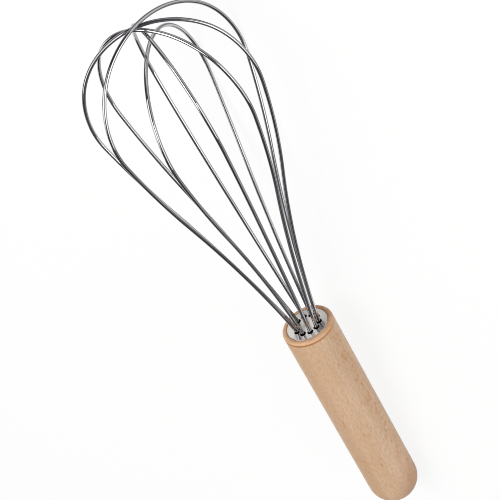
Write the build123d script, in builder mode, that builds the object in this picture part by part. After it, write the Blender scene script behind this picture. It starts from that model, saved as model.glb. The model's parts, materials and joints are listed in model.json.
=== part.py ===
# Balloon whisk: a turned wooden handle, a steel disc with ten holes set in its end, and five wire loops.
# The whisk lies on a table as it comes to rest, on the butt of its handle and on two neighbouring wires.
# +Z is up, +X runs from the butt to the tip, and the origin is under the middle of the whisk, on the table.
# Lengths are in millimetres and angles in degrees.

import os
from math import radians, tan

from build123d import *

# Each loop from the outermost in: its name, the hole that it starts from, its width as a share of the
# widest, and its lean along and across its own plane
loop_names = ("wire_loop_a", "wire_loop_b", "wire_loop_c", "wire_loop_d", "wire_loop_e")
first_holes = (0, 4, 3, 2, 1)
width_shares = (1.0, 0.97, 0.95, 0.95, 0.95)
lean_angles = ((0.2, 1.0), (-0.8, -0.7), (-0.2, -0.6), (0.6, 0.0), (-0.7, -0.3))
loop_count = len(loop_names)

# Points that each side of a loop passes on its way down, as shares of its reach and of its half-width
side_shares = ((0.885, 0.90), (0.735, 1.0), (0.48, 0.70))

# Wire loops
wire_radius = 0.85
balloon_length = 181.6
loop_half_width = 37.0
nest_gap = 0.3
inner_loop_drop = 6.0
loop_twist_angle = 11.7
buried_bend = 6.0
buried_depth = 24.0

# Disc in the end of the handle, and its holes
hole_count = 2 * loop_count
hole_circle_radius = 5.8
hole_play = 0.5
hole_edge_break = 0.12
hole_margin = 2.85
disc_thickness = 1.5
disc_recess = 0.3
disc_edge_round = 0.2
hole_radius = wire_radius + hole_play
disc_radius = hole_circle_radius + hole_radius + hole_margin

# Handle, with the seat of the disc and the bore behind it
disc_fit = 0.05
seat_ledge = 1.8
seat_edge_break = 0.3
rim_width = 2.5
rim_round = 1.5
handle_length = 123.2
resin_below_wires = 7.5
handle_radius = disc_radius + rim_width
bore_radius = disc_radius - seat_ledge
bore_depth = buried_depth + resin_below_wires
dome_centre = Vector(0, 0, disc_recess + handle_radius - handle_length)

# Lying on the table, on one side of the outermost loop and one of the innermost
resting_legs = ((0, -1), (loop_count - 1, -1))
rest_rounds = 8
samples_per_leg = 240

os.makedirs("parts", exist_ok=True)


# How far the top of a loop stands above the disc's face
def loop_height(order):
    height = balloon_length - order * (2 * wire_radius + nest_gap)
    return height - inner_loop_drop if order == loop_count - 1 else height


# One side of a loop's centre line, from its top down through its hole and into the resin. The frame's
# origin is the middle of the disc's face, and its +Z runs to the tip
def draw_leg(frame, order, side):
    lean_along, lean_across = lean_angles[order]
    height = loop_height(order)
    half_width = loop_half_width * width_shares[order]
    hole_angle = 360 / hole_count * first_holes[order]
    flat = Plane.XY.rotated((0, 0, hole_angle + loop_twist_angle))

    def place(height_share, width_share):
        up = height * height_share
        along = side * half_width * width_share + up * tan(radians(lean_along))
        across = up * tan(radians(lean_across))
        return frame.from_local_coords(flat.from_local_coords(Vector(along, across, up)))

    along_loop = frame.from_local_coords(flat.x_dir) - frame.origin
    down = -frame.z_dir
    foot = Vector(hole_circle_radius * side, 0, 0).rotate(Axis.Z, hole_angle)

    point = place(1, 0)
    heading = (along_loop * side + down * side * tan(radians(lean_along))).normalized()
    for height_share, width_share in side_shares:
        arc = TangentArc(point, place(height_share, width_share), tangent=heading)
        point, heading = arc @ 1, arc % 1
    leg = TangentArc(point, frame.from_local_coords(foot), tangent=heading)
    bend_way = (leg % 1 + down).normalized()
    bend = TangentArc(leg @ 1, leg @ 1 + bend_way * buried_bend, tangent=leg % 1)
    sunk = bend_way.dot(down) * buried_bend
    Line(bend @ 1, bend @ 1 + down * (buried_depth - sunk))


def leg_points(order, side):
    with BuildLine() as leg_line:
        draw_leg(Plane.XY, order, side)
    leg_wire = leg_line.wires()[0]
    return [leg_wire @ (step / samples_per_leg) for step in range(samples_per_leg + 1)]


# The point of the round butt that lies furthest along a direction
def butt_point(direction):
    return dome_centre + direction * handle_radius


# The table's plane, seen from the whisk: it touches the two resting legs and the butt
leg_samples = {
    (order, side): leg_points(order, side) for order in range(loop_count) for side in (1, -1)
}
resting_samples = [leg_samples[leg] for leg in resting_legs]
down_guess = sum((points[samples_per_leg // 2] for points in resting_samples), Vector(0, 0, 0))
up = -Vector(down_guess.X, down_guess.Y, 0).normalized()
for _ in range(rest_rounds):
    first, second = (min(points, key=up.dot) - up * wire_radius for points in resting_samples)
    normal = (first - butt_point(-up)).cross(second - butt_point(-up)).normalized()
    up = normal if normal.dot(up) > 0 else -normal
table = Plane(origin=(0, 0, 0), x_dir=Vector(0, 0, 1) - up * up.Z, z_dir=up)

# The whisk's own frame on the table, with the origin under the middle of its outline
seen = [table.to_local_coords(point) for points in leg_samples.values() for point in points]
low_x = table.to_local_coords(butt_point(-table.x_dir)).X
high_x = max(point.X for point in seen) + wire_radius
low_y = min(point.Y for point in seen) - wire_radius
high_y = max(point.Y for point in seen) + wire_radius
whisk = Plane(
    origin=(-(low_x + high_x) / 2, -(low_y + high_y) / 2, -butt_point(-up).dot(up)),
    x_dir=table.to_local_coords(Vector(1, 0, 0)),
    z_dir=table.to_local_coords(Vector(0, 0, 1)),
)
whisk_axis = Axis(whisk.origin, whisk.z_dir)
lengthwise = Plane(whisk.origin, x_dir=whisk.x_dir, z_dir=-whisk.y_dir)
rim_face = whisk.offset(disc_recess)
disc_seat = whisk.offset(-disc_thickness)

# Handle, with a stepped bore that seats the disc and holds the resin
with BuildPart() as handle:
    with BuildSketch(lengthwise):
        with BuildLine():
            side_line = Line((handle_radius, disc_recess), (handle_radius, dome_centre.Z))
            butt = CenterArc((0, dome_centre.Z), handle_radius, start_angle=0, arc_size=-90)
            Line(butt @ 1, (0, disc_recess))
            Line((0, disc_recess), side_line @ 0)
        make_face()
    revolve(axis=whisk_axis)
    rim_edge = handle.faces().sort_by(whisk_axis)[-1].edges()
    fillet(rim_edge, rim_round)
    with Locations(rim_face):
        CounterBoreHole(
            radius=bore_radius,
            counter_bore_radius=disc_radius + disc_fit,
            counter_bore_depth=disc_recess + disc_thickness,
            depth=disc_recess + bore_depth,
        )
    mouth_edge = handle.faces().sort_by(whisk_axis)[-1].edges().sort_by(SortBy.RADIUS)[0]
    chamfer(mouth_edge, seat_edge_break)
handle.part.label = "handle"
export_step(handle.part, "parts/handle.step")

# Disc with its ring of holes
with BuildPart() as holder_disc:
    with BuildSketch(whisk):
        Circle(disc_radius)
        with PolarLocations(hole_circle_radius, hole_count):
            Circle(hole_radius, mode=Mode.SUBTRACT)
    extrude(amount=-disc_thickness)
    face_edges = holder_disc.faces().sort_by(whisk_axis)[-1].edges().sort_by(SortBy.RADIUS)
    fillet(face_edges[-1], disc_edge_round)
    chamfer(face_edges[:-1], hole_edge_break)
holder_disc.part.label = "holder_disc"
export_step(holder_disc.part, "parts/holder_disc.step")

# Wire loops, each one wire with both ends buried in the resin
wires = []
for order, name in enumerate(loop_names):
    with BuildPart() as wire_loop:
        with BuildLine() as centre_line:
            draw_leg(whisk, order, 1)
            draw_leg(whisk, order, -1)
        loop_wire = centre_line.wires()[0]
        with BuildSketch(Plane(origin=loop_wire @ 0, z_dir=loop_wire % 0)):
            Circle(wire_radius)
        sweep(path=loop_wire)
    wire_loop.part.label = name
    export_step(wire_loop.part, f"parts/{name}.step")
    wires.append(wire_loop.part)

# Resin cast round the wire ends
with BuildPart() as resin_plug:
    with BuildSketch(disc_seat):
        Circle(bore_radius)
    extrude(amount=disc_thickness - bore_depth)
    for wire in wires:
        add(wire, mode=Mode.SUBTRACT)
resin_plug.part.label = "resin_plug"
export_step(resin_plug.part, "parts/resin_plug.step")
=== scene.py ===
import json
import math

import bpy
from mathutils import Euler, Matrix, Vector


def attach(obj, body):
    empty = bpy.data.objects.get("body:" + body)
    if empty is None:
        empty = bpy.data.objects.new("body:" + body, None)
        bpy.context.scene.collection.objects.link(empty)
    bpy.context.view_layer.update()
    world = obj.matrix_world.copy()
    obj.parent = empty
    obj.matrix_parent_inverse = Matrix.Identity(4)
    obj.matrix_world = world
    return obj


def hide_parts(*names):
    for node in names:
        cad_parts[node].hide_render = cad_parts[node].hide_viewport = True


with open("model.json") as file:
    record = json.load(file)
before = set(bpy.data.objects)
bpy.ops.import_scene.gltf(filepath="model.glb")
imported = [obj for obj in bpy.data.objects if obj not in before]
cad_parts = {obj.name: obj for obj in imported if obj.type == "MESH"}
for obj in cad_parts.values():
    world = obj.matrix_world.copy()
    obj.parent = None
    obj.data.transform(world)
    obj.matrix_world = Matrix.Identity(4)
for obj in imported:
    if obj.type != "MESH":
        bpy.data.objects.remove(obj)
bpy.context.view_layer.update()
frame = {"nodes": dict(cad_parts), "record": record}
nodes = frame["nodes"]
print("frame loaded:", len(nodes), "nodes")


# the whisk's own line, read from the grip mount: it runs from the butt to the tip
def readWhiskLine():
    grip = next(mount for mount in frame["record"]["mounts"] if mount["name"] == "handle_grip")
    tipWay = -Vector(grip["axis"]).normalized()
    halfWall = grip["dims"]["length_mm"] / 2000
    return {
        "tipWay": tipWay,
        "rimFoot": Vector(grip["pos_m"]) + tipWay * halfWall,  # where the rounding of the rim begins
        "tilt": math.asin(tipWay.z),
    }


whiskLine = readWhiskLine()


# node helpers
def addNode(tree, kind, **settings):
    node = tree.nodes.new(kind)
    for name, value in settings.items():
        setattr(node, name, value)
    return node


# a socket is linked, anything else is set as the value
def feed(tree, socket, value):
    if isinstance(value, bpy.types.NodeSocket):
        tree.links.new(value, socket)
    elif isinstance(value, tuple) and len(value) == 3 and socket.type == "RGBA":
        socket.default_value = (*value, 1)
    else:
        socket.default_value = value


def mathNode(tree, operation, first, second=0.0):
    node = addNode(tree, "ShaderNodeMath", operation=operation)
    feed(tree, node.inputs[0], first)
    feed(tree, node.inputs[1], second)
    return node.outputs[0]


def times(tree, first, second):
    return mathNode(tree, "MULTIPLY", first, second)


def vectorNode(tree, operation, first, second=(0, 0, 0)):
    node = addNode(tree, "ShaderNodeVectorMath", operation=operation)
    feed(tree, node.inputs[0], first)
    feed(tree, node.inputs[1], second)
    return node.outputs["Value" if operation in ("LENGTH", "DOT_PRODUCT") else "Vector"]


# soft step over a span of the value, from the first result to the second. A span that falls runs backwards
def softStep(tree, value, span, result=(0.0, 1.0)):
    node = addNode(tree, "ShaderNodeMapRange", interpolation_type="SMOOTHSTEP")
    if span[0] > span[1]:
        span, result = span[::-1], result[::-1]
    names = ("Value", "From Min", "From Max", "To Min", "To Max")
    for name, setting in zip(names, (value, *span, *result)):
        feed(tree, node.inputs[name], setting)
    return node.outputs["Result"]


def mixColour(tree, factor, first, second):
    node = addNode(tree, "ShaderNodeMix", data_type="RGBA")
    feed(tree, node.inputs[0], factor)
    feed(tree, node.inputs[6], first)
    feed(tree, node.inputs[7], second)
    return node.outputs[2]


def noiseNode(tree, vector, scale, detail, roughness):
    node = addNode(tree, "ShaderNodeTexNoise")
    for name, setting in (("Vector", vector), ("Scale", scale), ("Detail", detail), ("Roughness", roughness)):
        feed(tree, node.inputs[name], setting)
    return node.outputs["Fac"]


# noise in cells drawn out along the grain, counted to the metre
def grainNoise(tree, along, cells, detail, roughness):
    return noiseNode(tree, vectorNode(tree, "MULTIPLY", along, cells), 1.0, detail, roughness)


# one small spot in each cell, of many sizes
def grainSpots(tree, along, cells, span):
    node = addNode(tree, "ShaderNodeTexVoronoi")
    feed(tree, node.inputs["Vector"], vectorNode(tree, "MULTIPLY", along, cells))
    feed(tree, node.inputs["Scale"], 1.0)
    return softStep(tree, node.outputs["Distance"], span)


# mask of what faces one way round the whisk
def sideMask(tree, way, side, span, result):
    return softStep(tree, vectorNode(tree, "DOT_PRODUCT", way, side), span, result)


def addBump(tree, shader, height, strength, distance):
    bump = addNode(tree, "ShaderNodeBump")
    bump.inputs["Strength"].default_value = strength
    bump.inputs["Distance"].default_value = distance
    feed(tree, bump.inputs["Height"], height)
    feed(tree, shader.inputs["Normal"], bump.outputs["Normal"])


# nodes stand in columns, the output on the right and what feeds it to its left
nodeSpacing = {"column": 240, "row": 260}


def arrange(tree):
    depths = {}

    def visit(node, depth):
        if depths.get(node.name, -1) < depth:
            depths[node.name] = depth
            for socket in node.inputs:
                for link in socket.links:
                    visit(link.from_node, depth + 1)

    for node in tree.nodes:
        if not any(socket.links for socket in node.outputs):
            visit(node, 0)
    filled = {}
    for node in tree.nodes:
        depth = depths[node.name]
        node.location = (-nodeSpacing["column"] * depth, -nodeSpacing["row"] * filled.get(depth, 0))
        filled[depth] = filled.get(depth, 0) + 1


def newMaterial(name):
    material = bpy.data.materials.new(name)
    material.use_nodes = True
    tree = material.node_tree
    tree.nodes.clear()
    return material, tree


def newPrincipled(name):
    material, tree = newMaterial(name)
    shader = addNode(tree, "ShaderNodeBsdfPrincipled")
    output = addNode(tree, "ShaderNodeOutputMaterial")
    tree.links.new(shader.outputs["BSDF"], output.inputs["Surface"])
    return material, tree, shader


# Object coordinates turned so that X runs along the whisk and starts where the rim begins
def whiskCoordinates(tree):
    turn = Matrix.Rotation(whiskLine["tilt"], 3, "Y")
    coordinates = addNode(tree, "ShaderNodeTexCoord")
    mapping = addNode(tree, "ShaderNodeMapping")
    mapping.inputs["Location"].default_value = -(turn @ whiskLine["rimFoot"])
    mapping.inputs["Rotation"].default_value = (0, whiskLine["tilt"], 0)
    tree.links.new(coordinates.outputs["Object"], mapping.inputs["Vector"])
    return mapping.outputs["Vector"]


# shared effect: long fine streaks with a soft haze over them, as drawn or ground steel shows. On the wires
# they set the colour in strong light and dark bands, a painted reflection
streakValues = {
    "fine": {"detail": 2.0, "roughness": 0.6},
    "soft": {"detail": 1.0, "roughness": 0.5},
    "span": (0.35, 0.65),
}


def makeStreakGroup():
    values = streakValues
    group = bpy.data.node_groups.new("steelStreaks", "ShaderNodeTree")
    group.interface.new_socket(name="Vector", in_out="INPUT", socket_type="NodeSocketVector")
    group.interface.new_socket(name="Streak Scale", in_out="INPUT", socket_type="NodeSocketFloat")
    group.interface.new_socket(name="Haze Scale", in_out="INPUT", socket_type="NodeSocketFloat")
    group.interface.new_socket(name="Streaks", in_out="OUTPUT", socket_type="NodeSocketFloat")
    group.interface.new_socket(name="Haze", in_out="OUTPUT", socket_type="NodeSocketFloat")
    entry = addNode(group, "NodeGroupInput")
    leave = addNode(group, "NodeGroupOutput")
    for scaleName, outputName, kind in (("Streak Scale", "Streaks", "fine"), ("Haze Scale", "Haze", "soft")):
        noise = noiseNode(group, entry.outputs["Vector"], entry.outputs[scaleName], **values[kind])
        feed(group, leave.inputs[outputName], softStep(group, noise, values["span"]))
    arrange(group)
    return group


streakGroup = makeStreakGroup()


def addStreaks(tree, vector, streakScale, hazeScale):
    node = addNode(tree, "ShaderNodeGroup", node_tree=streakGroup)
    feed(tree, node.inputs["Vector"], vector)
    feed(tree, node.inputs["Streak Scale"], streakScale)
    feed(tree, node.inputs["Haze Scale"], hazeScale)
    return node.outputs["Streaks"], node.outputs["Haze"]


# beech. Sides are ways round the handle, as shares of level and of up. Places along the handle and
# distances from its line are in metres, along from the foot of the rim
beechValues = {
    "pale": (0.77, 0.545, 0.38),
    "warm": (0.68, 0.46, 0.295),
    "poreAndShadeBrown": (0.52, 0.31, 0.165),
    "fleck": (0.56, 0.25, 0.085),
    "endGrainShadeBrown": (0.50, 0.295, 0.168),
    "rimTint": (0.79, 0.46, 0.245),
    "scorchAndShade": (0.43, 0.155, 0.042),
    # growth bands and pores
    "growth": {"cells": (14, 120, 140), "detail": 3.0, "roughness": 0.6},
    "growthShade": {"span": (0.35, 0.65)},
    "fibre": {"cells": (420, 1900, 1900), "detail": 2.0, "roughness": 0.7},
    "fibreShade": {"span": (0.42, 0.70), "result": (0.0, 0.55)},
    "pores": {"cells": (340, 1200, 1200), "span": (0.5, 0.1)},
    "poreStrength": 0.5,
    # ray flecks, which crowd on one side over a faint stain
    "flecks": {"cells": (360, 620, 620), "span": (0.6, 0.05)},
    "spread": {"cells": (150, 300, 300), "detail": 1.0, "roughness": 0.5},
    "raySide": {"side": (0, -0.999, -0.035), "span": (0.955, 0.995), "result": (0.0, 0.25)},
    "crowd": {"span": (0.57, 0.75), "result": (0.0, 0.72)},
    "rayStain": {"span": (0.3, 0.7), "result": (0.1, 0.9)},
    # painted shade: a darker band along the upward side, and a darker lower side of the butt, where painted
    # shade lies over its end-grain tint
    "shadeBandSide": {"side": (0, 0.03, 0.9995), "span": (0.90, 0.995), "result": (0.0, 0.78)},
    "butt": {"span": (-0.094, -0.116)},
    "buttShadeSide": {"side": (0, -0.93, -0.36), "span": (0.1, 0.85), "result": (0.0, 0.9)},
    # rim, warmer and ticked with end grain
    "rim": {"span": (-0.0003, 0.0006)},
    "rimShade": {"span": (0.35, 0.65), "result": (0.35, 0.75)},
    "ticks": {"cells": (900, 1000, 1000), "span": (0.45, 0.1)},
    "tickShade": {"span": (0.0, 0.0006), "result": (0.0, 0.45)},
    # scorched line round the foot of the rim; round the disc, a scorched edge that is darker on its lower
    # side as painted shade, and painted shade in the seat
    "lineMiddle": -0.0003,
    "line": {"span": (0.0007, 0.00028)},
    "lineSide": {"side": (0, 0.10, 0.99), "span": (-0.7, 0.5), "result": (0.3, 0.85)},
    "ring": {"span": (0.0115, 0.0107)},
    "ringFoot": {"span": (0.0, 0.0008)},
    "ringShadeSide": {"side": (0, -0.545, -0.839), "span": (0.55, 0.9), "result": (0.12, 0.6)},
    "seat": {"span": (0.01045, 0.01025), "result": (0.0, 0.6)},
    "seatFoot": {"span": (-0.002, -0.0016)},
    "seatSide": {"side": (0, -0.95, 0.3), "span": (-0.2, 0.7), "result": (0.1, 1.0)},
    "roughness": {"span": (0.3, 0.7), "result": (0.45, 0.6)},
    "bump": {"strength": 0.25, "distance": 0.00004},
}


# places in the wood: along its line, how far along, how far from the line, and which way round
def woodPlaces(tree):
    along = whiskCoordinates(tree)
    split = addNode(tree, "ShaderNodeSeparateXYZ")
    feed(tree, split.inputs[0], along)
    across = vectorNode(tree, "MULTIPLY", along, (0, 1, 1))
    radius = vectorNode(tree, "LENGTH", across)
    return along, split.outputs["X"], radius, vectorNode(tree, "NORMALIZE", across)


def addRays(tree, colour, along, way):
    values = beechValues
    spread = grainNoise(tree, along, **values["spread"])
    rayFace = sideMask(tree, way, **values["raySide"])
    crowd = softStep(tree, mathNode(tree, "ADD", spread, rayFace), **values["crowd"])
    flecks = times(tree, grainSpots(tree, along, **values["flecks"]), crowd)
    colour = mixColour(tree, flecks, colour, values["fleck"])
    rayStain = times(tree, rayFace, softStep(tree, spread, **values["rayStain"]))
    return mixColour(tree, rayStain, colour, values["fleck"])


# painted shade: darkens the butt's lower side over its end-grain tint, and a band along the upward side
def addEndGrainAndShade(tree, colour, lengthwise, way, growth):
    values = beechValues
    # the butt's end-grain tint, with painted shade on its lower side
    butt = softStep(tree, lengthwise, **values["butt"])
    butt = times(tree, butt, sideMask(tree, way, **values["buttShadeSide"]))
    colour = mixColour(tree, butt, colour, values["endGrainShadeBrown"])
    # painted shade: a darker band along the upward side, mottled by the growth bands, in the pores' brown
    band = times(tree, sideMask(tree, way, **values["shadeBandSide"]), growth)
    return mixColour(tree, band, colour, values["poreAndShadeBrown"])


def addRim(tree, colour, along, lengthwise, growth):
    values = beechValues
    rim = softStep(tree, lengthwise, **values["rim"])
    rim = times(tree, rim, softStep(tree, growth, **values["rimShade"]))
    colour = mixColour(tree, rim, colour, values["rimTint"])
    tickShade = softStep(tree, lengthwise, **values["tickShade"])
    ticks = times(tree, grainSpots(tree, along, **values["ticks"]), tickShade)
    return mixColour(tree, ticks, colour, values["fleck"])


def scorchedLine(tree, lengthwise, way):
    values = beechValues
    fromLine = mathNode(tree, "ABSOLUTE", mathNode(tree, "SUBTRACT", lengthwise, values["lineMiddle"]))
    line = softStep(tree, fromLine, **values["line"])
    return times(tree, line, sideMask(tree, way, **values["lineSide"]))


# the edge and the seat round the disc: the edge is scorch with painted shade on its lower side, and the seat
# is painted shade in the recess
def scorchAndShadeMouth(tree, lengthwise, radius, way):
    values = beechValues
    # scorch on the edge round the disc, darker on its lower side as painted shade
    ring = times(tree, softStep(tree, radius, **values["ring"]), sideMask(tree, way, **values["ringShadeSide"]))
    ring = times(tree, ring, softStep(tree, lengthwise, **values["ringFoot"]))
    # painted shade in the recess round the disc, weaker on one side
    seat = softStep(tree, radius, **values["seat"])
    seat = times(tree, seat, softStep(tree, lengthwise, **values["seatFoot"]))
    seat = times(tree, seat, sideMask(tree, way, **values["seatSide"]))
    return mathNode(tree, "MAXIMUM", ring, seat)


def makeBeech():
    values = beechValues
    material, tree, shader = newPrincipled("beechWood")
    along, lengthwise, radius, way = woodPlaces(tree)
    growth = grainNoise(tree, along, **values["growth"])
    fibre = grainNoise(tree, along, **values["fibre"])

    growthShade = softStep(tree, growth, **values["growthShade"])
    colour = mixColour(tree, growthShade, values["warm"], values["pale"])
    pores = times(tree, grainSpots(tree, along, **values["pores"]), values["poreStrength"])
    pores = mathNode(tree, "MAXIMUM", softStep(tree, fibre, **values["fibreShade"]), pores)
    colour = mixColour(tree, pores, colour, values["poreAndShadeBrown"])
    colour = addRays(tree, colour, along, way)
    colour = addEndGrainAndShade(tree, colour, lengthwise, way, growth)
    colour = addRim(tree, colour, along, lengthwise, growth)
    line = scorchedLine(tree, lengthwise, way)
    # the scorched line, and the scorch and painted shade round the disc, take one brown
    scorchAndShade = mathNode(tree, "MAXIMUM", line, scorchAndShadeMouth(tree, lengthwise, radius, way))
    colour = mixColour(tree, scorchAndShade, colour, values["scorchAndShade"])

    feed(tree, shader.inputs["Base Color"], colour)
    feed(tree, shader.inputs["Roughness"], softStep(tree, fibre, **values["roughness"]))
    height = mathNode(tree, "SUBTRACT", times(tree, pores, -1.0), line)
    addBump(tree, shader, height, **values["bump"])
    arrange(tree)
    return material


# drawn steel wire: the streaks follow the wire and close round it, strong light and dark bands that are a
# painted reflection over the faint streaks of drawing. On the tube's own UV map, U runs along the wire and V
# round it
wireSteelValues = {
    "light": (0.60, 0.59, 0.60),
    "dark": (0.085, 0.08, 0.09),
    "roughness": (0.04, 0.10),
    "stretch": 4.0,
    "streakScale": 1.2,
    "hazeScale": 0.7,
}


def makeWireSteel():
    values = wireSteelValues
    material, tree, shader = newPrincipled("wireSteel")
    uv = addNode(tree, "ShaderNodeUVMap", uv_map="UVMap")
    split = addNode(tree, "ShaderNodeSeparateXYZ")
    feed(tree, split.inputs[0], uv.outputs["UV"])
    turn = times(tree, split.outputs["Y"], math.tau)
    join = addNode(tree, "ShaderNodeCombineXYZ")
    feed(tree, join.inputs[0], mathNode(tree, "COSINE", turn))
    feed(tree, join.inputs[1], mathNode(tree, "SINE", turn))
    feed(tree, join.inputs[2], times(tree, split.outputs["X"], values["stretch"]))
    streaks, haze = addStreaks(tree, join.outputs[0], values["streakScale"], values["hazeScale"])
    # painted reflection: the base colour swings between dark and light in bands round the wire
    feed(tree, shader.inputs["Base Color"], mixColour(tree, streaks, values["dark"], values["light"]))
    shader.inputs["Metallic"].default_value = 1
    feed(tree, shader.inputs["Roughness"], softStep(tree, haze, (0.0, 1.0), values["roughness"]))
    arrange(tree)
    return material


# disc: satin sheet steel, a little wavy, with the walls and edges of its drilled holes painted nearly black
# as shade
discValues = {
    "light": (0.68, 0.66, 0.63),
    "dark": (0.42, 0.41, 0.395),
    "roughness": (0.16, 0.24),
    "stretch": (1, 1, 0.35),
    "streakScale": 1900.0,
    "hazeScale": 170.0,
    "bump": {"strength": 0.35, "distance": 0.0001},
    "faceAboveRimFoot": 0.0012,
    "wallLean": 0.9,  # faces that lean less than this towards the tip are walls
    "holesWithin": 0.0092,  # of the middle
}


def makeDiscSteel():
    values = discValues
    material, tree, shader = newPrincipled("discSteel")
    along = vectorNode(tree, "MULTIPLY", whiskCoordinates(tree), values["stretch"])
    streaks, haze = addStreaks(tree, along, values["streakScale"], values["hazeScale"])
    feed(tree, shader.inputs["Base Color"], mixColour(tree, haze, values["dark"], values["light"]))
    shader.inputs["Metallic"].default_value = 1
    feed(tree, shader.inputs["Roughness"], softStep(tree, streaks, (0.0, 1.0), values["roughness"]))
    addBump(tree, shader, haze, **values["bump"])
    arrange(tree)
    return material


# hole walls and their edges: steel painted nearly black, a painted shade inside the holes
holeShadeValues = {
    "light": (0.05, 0.048, 0.045),
    "dark": (0.02, 0.019, 0.018),
    "roughness": (0.35, 0.5),
    "streakScale": 2500.0,
    "hazeScale": 600.0,
}


def makeHoleShadeSteel():
    values = holeShadeValues
    material, tree, shader = newPrincipled("holeShadeSteel")
    streaks, haze = addStreaks(tree, whiskCoordinates(tree), values["streakScale"], values["hazeScale"])
    feed(tree, shader.inputs["Base Color"], mixColour(tree, streaks, values["light"], values["dark"]))
    shader.inputs["Metallic"].default_value = 1
    feed(tree, shader.inputs["Roughness"], softStep(tree, haze, (0.0, 1.0), values["roughness"]))
    arrange(tree)
    return material


# cast resin: nearly black, faintly clouded
resinValues = {
    "deep": (0.008, 0.007, 0.006),
    "cloud": (0.018, 0.016, 0.014),
    "clouds": {"scale": 400.0, "detail": 3.0, "roughness": 0.6},
    "cloudShade": {"span": (0.4, 0.7)},
    "roughness": {"span": (0.3, 0.7), "result": (0.45, 0.6)},
}


def makeResin():
    values = resinValues
    material, tree, shader = newPrincipled("castResin")
    clouds = noiseNode(tree, whiskCoordinates(tree), **values["clouds"])
    cloudShade = softStep(tree, clouds, **values["cloudShade"])
    feed(tree, shader.inputs["Base Color"], mixColour(tree, cloudShade, values["deep"], values["cloud"]))
    feed(tree, shader.inputs["Roughness"], softStep(tree, clouds, **values["roughness"]))
    arrange(tree)
    return material


def dress(nodeName, *materials):
    mesh = nodes[nodeName].data
    mesh.materials.clear()
    for material in materials:
        mesh.materials.append(material)
    return mesh


# faces of the disc that lie inside its holes take the second material, nearly black steel as painted shade
def dressDisc():
    values = discValues
    mesh = dress("holder_disc", makeDiscSteel(), makeHoleShadeSteel())
    tipWay = whiskLine["tipWay"]
    middle = whiskLine["rimFoot"] + tipWay * values["faceAboveRimFoot"]
    for face in mesh.polygons:
        fromMiddle = face.center - middle
        spoke = fromMiddle - tipWay * fromMiddle.dot(tipWay)
        wall = abs(face.normal.dot(tipWay)) < values["wallLean"]
        face.material_index = 1 if wall and spoke.length < values["holesWithin"] else 0


dress("handle", makeBeech())
dressDisc()
dress("resin_plug", makeResin())
print("handle, disc and resin dressed")

# wire loops, drawn as part.py draws them: each side is a chain of arcs, each tangent to the last.
# Lengths are in metres and angles in degrees
wireTubeValues = {
    "nodes": ("wire_loop_a", "wire_loop_b", "wire_loop_c", "wire_loop_d", "wire_loop_e"),
    "firstHoles": (0, 4, 3, 2, 1),
    "widthShares": (1.0, 0.97, 0.95, 0.95, 0.95),
    "leans": ((0.2, 1.0), (-0.8, -0.7), (-0.2, -0.6), (0.6, 0.0), (-0.7, -0.3)),
    "sideShares": ((0.885, 0.90), (0.735, 1.0), (0.48, 0.70)),
    "wireRadius": 0.00085,
    "balloonLength": 0.1816,
    "halfWidth": 0.037,
    "nestGap": 0.0003,
    "innerDrop": 0.006,
    "twist": 11.7,
    "holeCircle": 0.0058,
    "holes": 10,
    "buriedBend": 0.006,
    "buriedDepth": 0.024,
    "roll": 64.286,  # of the first hole about the whisk's line, from the level
    "step": 0.0008,
    "bevelResolution": 9,
    "straight": 1e-6,  # an arc that turns less, in radians, is a line
}


# points of the arc that leaves the start along its heading and ends at the end, and its last heading
def tangentArc(start, heading, end):
    chord = end - start
    chordWay = chord.normalized()
    halfTurn = heading.angle(chord)
    arrival = (2 * heading.dot(chordWay) * chordWay - heading).normalized()
    if halfTurn < wireTubeValues["straight"]:
        return [end], arrival
    radius = chord.length / (2 * math.sin(halfTurn))
    inward = (chordWay - heading * heading.dot(chordWay)).normalized()
    steps = max(2, math.ceil(2 * halfTurn * radius / wireTubeValues["step"]))
    points = []
    for index in range(1, steps + 1):
        turned = 2 * halfTurn * index / steps
        points.append(start + heading * radius * math.sin(turned) + inward * radius * (1 - math.cos(turned)))
    return points, arrival


# one side of a loop, from its top down into the resin, with the middle of the disc's face as origin
def drawLeg(order, side):
    values = wireTubeValues
    leanAlong, leanAcross = (math.tan(math.radians(lean)) for lean in values["leans"][order])
    height = values["balloonLength"] - order * (2 * values["wireRadius"] + values["nestGap"])
    if order == len(values["nodes"]) - 1:
        height -= values["innerDrop"]
    halfWidth = values["halfWidth"] * values["widthShares"][order]
    holeAngle = math.radians(360 / values["holes"] * values["firstHoles"][order])
    turn = Matrix.Rotation(holeAngle + math.radians(values["twist"]), 3, "Z")

    def place(heightShare, widthShare):
        up = height * heightShare
        return turn @ Vector((side * halfWidth * widthShare + up * leanAlong, up * leanAcross, up))

    down = Vector((0, 0, -1))
    points = [place(1, 0)]
    heading = (turn @ Vector((side, 0, -side * leanAlong))).normalized()
    for heightShare, widthShare in values["sideShares"]:
        arc, heading = tangentArc(points[-1], heading, place(heightShare, widthShare))
        points += arc
    foot = Matrix.Rotation(holeAngle, 3, "Z") @ Vector((values["holeCircle"] * side, 0, 0))
    arc, heading = tangentArc(points[-1], heading, foot)
    points += arc
    bendWay = (heading + down).normalized()
    arc, heading = tangentArc(points[-1], heading, foot + bendWay * values["buriedBend"])
    points += arc
    sunk = bendWay.dot(down) * values["buriedBend"]
    points.append(points[-1] + down * (values["buriedDepth"] - sunk))
    return points


# how the disc's face lies in the row frame
def discFrame():
    tipWay = whiskLine["tipWay"]
    level = Vector((0, 1, 0))
    upright = tipWay.cross(level)
    roll = math.radians(wireTubeValues["roll"])
    firstHole = level * math.cos(roll) + upright * math.sin(roll)
    turn = Matrix((firstHole, tipWay.cross(firstHole), tipWay)).transposed()
    return turn, whiskLine["rimFoot"] + tipWay * discValues["faceAboveRimFoot"]


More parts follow.
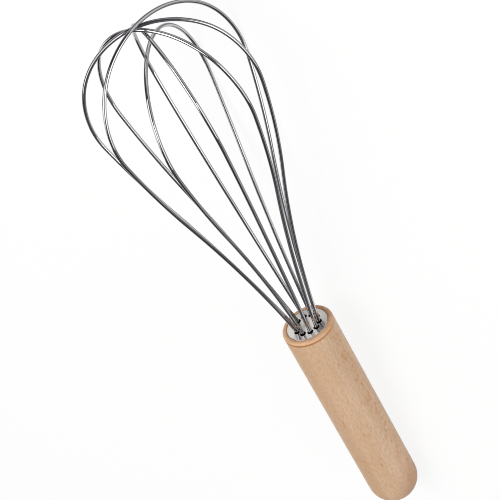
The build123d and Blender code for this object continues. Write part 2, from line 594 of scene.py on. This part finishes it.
def makeWireTube(order, material):
    values = wireTubeValues
    turn, middle = discFrame()
    centreLine = drawLeg(order, 1)[::-1] + drawLeg(order, -1)[1:]
    nodeName = values["nodes"][order]
    curve = bpy.data.curves.new(nodeName + "_tube", "CURVE")
    curve.dimensions = "3D"
    curve.bevel_depth = values["wireRadius"]
    curve.bevel_resolution = values["bevelResolution"]
    curve.use_fill_caps = True
    spline = curve.splines.new("POLY")
    spline.points.add(len(centreLine) - 1)
    for point, local in zip(spline.points, centreLine):
        point.co = (*(middle + turn @ local), 1)
    tube = bpy.data.objects.new(nodeName + "_tube", curve)
    bpy.context.collection.objects.link(tube)
    bpy.ops.object.select_all(action="DESELECT")
    tube.select_set(True)
    bpy.context.view_layer.objects.active = tube
    bpy.ops.object.convert(target="MESH")
    tube = bpy.context.object
    bpy.ops.object.shade_smooth()
    tube.data.materials.clear()
    tube.data.materials.append(material)
    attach(tube, "root")
    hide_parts(nodeName)
    return tube


wireSteel = makeWireSteel()
for order in range(len(wireTubeValues["nodes"])):
    tube = makeWireTube(order, wireSteel)
    print(tube.name, "drawn:", len(tube.data.polygons), "faces")


# largest of the ray kinds named, from the Light Path node
def rayKinds(tree, *names):
    path = addNode(tree, "ShaderNodeLightPath")
    seen = path.outputs[names[0]]
    for name in names[1:]:
        seen = mathNode(tree, "MAXIMUM", seen, path.outputs[name])
    return seen


# plain floor: white to the camera and in reflections, with the whisk's own soft shadow
floorValues = {
    "halfSize": 3.0,
    "paper": (0.62, 0.62, 0.62),
    "seenPaper": (1.0, 1.0, 1.0),
    "lift": 0.88,
}


def makeFloor():
    values = floorValues
    bpy.ops.object.select_all(action="DESELECT")
    bpy.ops.mesh.primitive_plane_add(size=2 * values["halfSize"], location=(0, 0, 0))
    floor = bpy.context.object
    floor.name = "floor"
    material, tree = newMaterial("floorPaper")
    seen = rayKinds(tree, "Is Camera Ray", "Is Glossy Ray", "Is Transmission Ray")
    paper = addNode(tree, "ShaderNodeBsdfDiffuse")
    feed(tree, paper.inputs["Color"], mixColour(tree, seen, values["paper"], values["seenPaper"]))
    white = addNode(tree, "ShaderNodeEmission")
    mix = addNode(tree, "ShaderNodeMixShader")
    output = addNode(tree, "ShaderNodeOutputMaterial")
    tree.links.new(times(tree, seen, values["lift"]), mix.inputs["Fac"])
    tree.links.new(paper.outputs[0], mix.inputs[1])
    tree.links.new(white.outputs[0], mix.inputs[2])
    tree.links.new(mix.outputs[0], output.inputs["Surface"])
    arrange(tree)
    floor.data.materials.append(material)


makeFloor()

# soft studio light: each box is a rectangle that looks at the whisk
lampColour = (1.0, 0.985, 0.955)
lamps = {
    "overheadBox": {"place": (0.42, 0.2, 1.12), "size": (1.2, 1.2), "watts": 14.5},
    "nearBox": {"place": (-0.12, -1.1, 0.36), "size": (1.0, 0.65), "watts": 6.5},
    "backBox": {"place": (-0.25, 1.2, 0.6), "size": (0.7, 0.5), "watts": 2.2},
}


def makeLamps():
    for name, lamp in lamps.items():
        light = bpy.data.lights.new(name, "AREA")
        light.shape = "RECTANGLE"
        light.size, light.size_y = lamp["size"]
        light.energy = lamp["watts"]
        light.color = lampColour
        holder = bpy.data.objects.new(name, light)
        bpy.context.collection.objects.link(holder)
        holder.location = lamp["place"]
        holder.rotation_euler = (-Vector(lamp["place"])).to_track_quat("-Z", "Y").to_euler()
        holder.visible_camera = False


makeLamps()

# surroundings: dim for the light they give, white where the camera sees past the floor and, low down, in
# reflections. The white rises a little higher at the back
surroundings = {
    "dim": (0.12, 0.12, 0.135),
    "white": (1, 1, 1),
    "band": (0.08, 0.04),
    "backWay": (-0.64, 0.77, 0),
    "backRise": 0.12,
}


def makeSurroundings():
    values = surroundings
    world = bpy.data.worlds.new("studio")
    bpy.context.scene.world = world
    world.use_nodes = True
    tree = world.node_tree
    tree.nodes.clear()
    dim = addNode(tree, "ShaderNodeBackground")
    feed(tree, dim.inputs["Color"], values["dim"])
    white = addNode(tree, "ShaderNodeBackground")
    feed(tree, white.inputs["Color"], values["white"])
    direction = addNode(tree, "ShaderNodeTexCoord").outputs["Generated"]
    split = addNode(tree, "ShaderNodeSeparateXYZ")
    feed(tree, split.inputs[0], direction)
    behind = vectorNode(tree, "DOT_PRODUCT", direction, values["backWay"])
    rise = times(tree, mathNode(tree, "MAXIMUM", behind, 0.0), values["backRise"])
    height = mathNode(tree, "SUBTRACT", split.outputs["Z"], rise)
    mirrored = rayKinds(tree, "Is Glossy Ray", "Is Transmission Ray")
    mirrored = times(tree, mirrored, softStep(tree, height, values["band"]))
    mix = addNode(tree, "ShaderNodeMixShader")
    output = addNode(tree, "ShaderNodeOutputWorld")
    tree.links.new(mathNode(tree, "MAXIMUM", mirrored, rayKinds(tree, "Is Camera Ray")), mix.inputs["Fac"])
    tree.links.new(dim.outputs[0], mix.inputs[1])
    tree.links.new(white.outputs[0], mix.inputs[2])
    tree.links.new(mix.outputs[0], output.inputs["Surface"])
    arrange(tree)


makeSurroundings()

# camera where the photograph's was: it looks down on the whisk and is rolled well over
cameraValues = {
    "place": (0.4911, -0.5229, 0.5063),
    "heading": -41.674,  # of the line of sight, from +Y towards +X
    "lookDown": 33.917,
    "roll": -140.955,
    "lens": 139.04,
    "sensor": 36,
    "filterWidth": 1.0,
}


def makeCamera():
    values = cameraValues
    data = bpy.data.cameras.new("camera")
    data.lens = values["lens"]
    data.sensor_width = values["sensor"]
    holder = bpy.data.objects.new("camera", data)
    bpy.context.collection.objects.link(holder)
    level = Euler((math.radians(90 - values["lookDown"]), 0, -math.radians(values["heading"]))).to_matrix()
    rolled = level @ Matrix.Rotation(math.radians(values["roll"]), 3, "Z")
    holder.matrix_world = Matrix.Translation(values["place"]) @ rolled.to_4x4()
    bpy.context.scene.camera = holder
    bpy.context.scene.view_settings.view_transform = "Standard"
    bpy.context.scene.cycles.filter_width = values["filterWidth"]


makeCamera()
print("studio ready")
